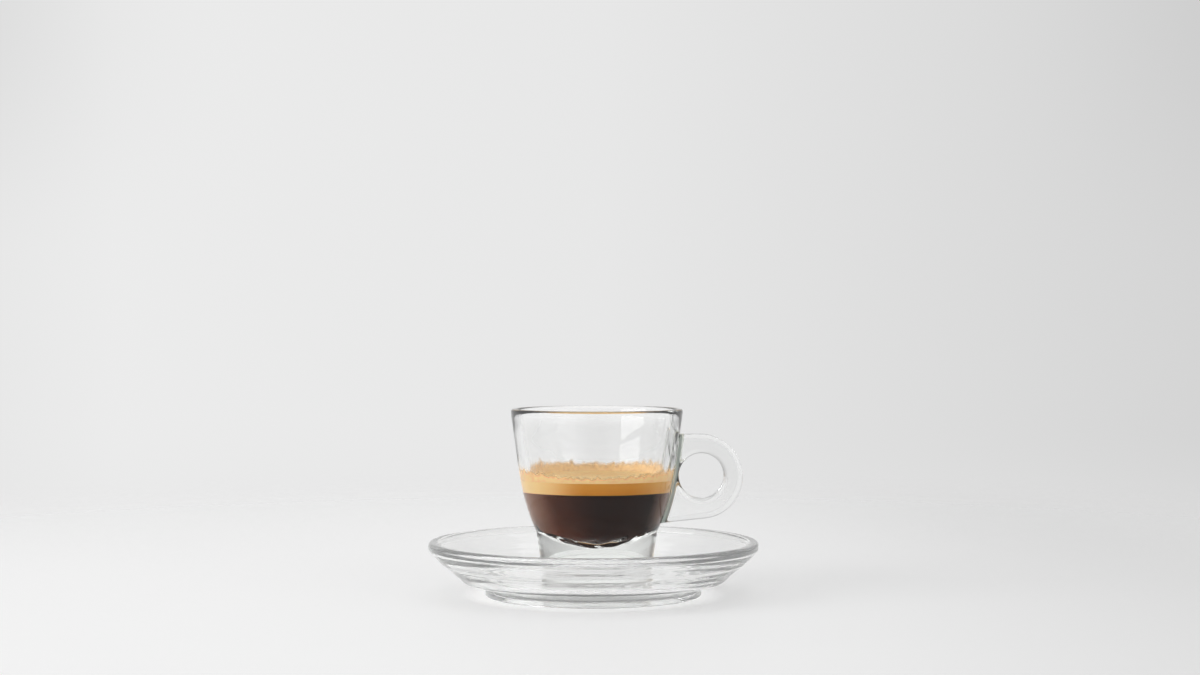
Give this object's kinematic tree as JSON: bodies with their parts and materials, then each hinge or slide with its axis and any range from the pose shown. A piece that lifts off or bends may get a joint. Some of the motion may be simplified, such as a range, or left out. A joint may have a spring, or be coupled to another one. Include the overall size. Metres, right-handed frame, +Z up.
{
  "type": "double espresso",
  "caption": "Double espresso with golden crema in a clear glass cup with a ring handle, on a clear glass saucer.",
  "frame": {"origin": "under the middle of the saucer, on the surface it stands on", "axes": "+Z up; +X towards the handle of the cup"},
  "size_m": [0.12, 0.12, 0.0677],
  "materials": {
    "clear_glass": "smooth clear pressed glass with a faint grey-green tint in its thick parts",
    "coffee": "opaque very dark brown liquid, reddish where it thins",
    "crema": "fine golden foam, paler on top"
  },
  "bodies": {
    "root": {"saucer": "clear_glass", "cup": "clear_glass", "coffee": "coffee", "crema": "crema"}
  },
  "joints": []
}
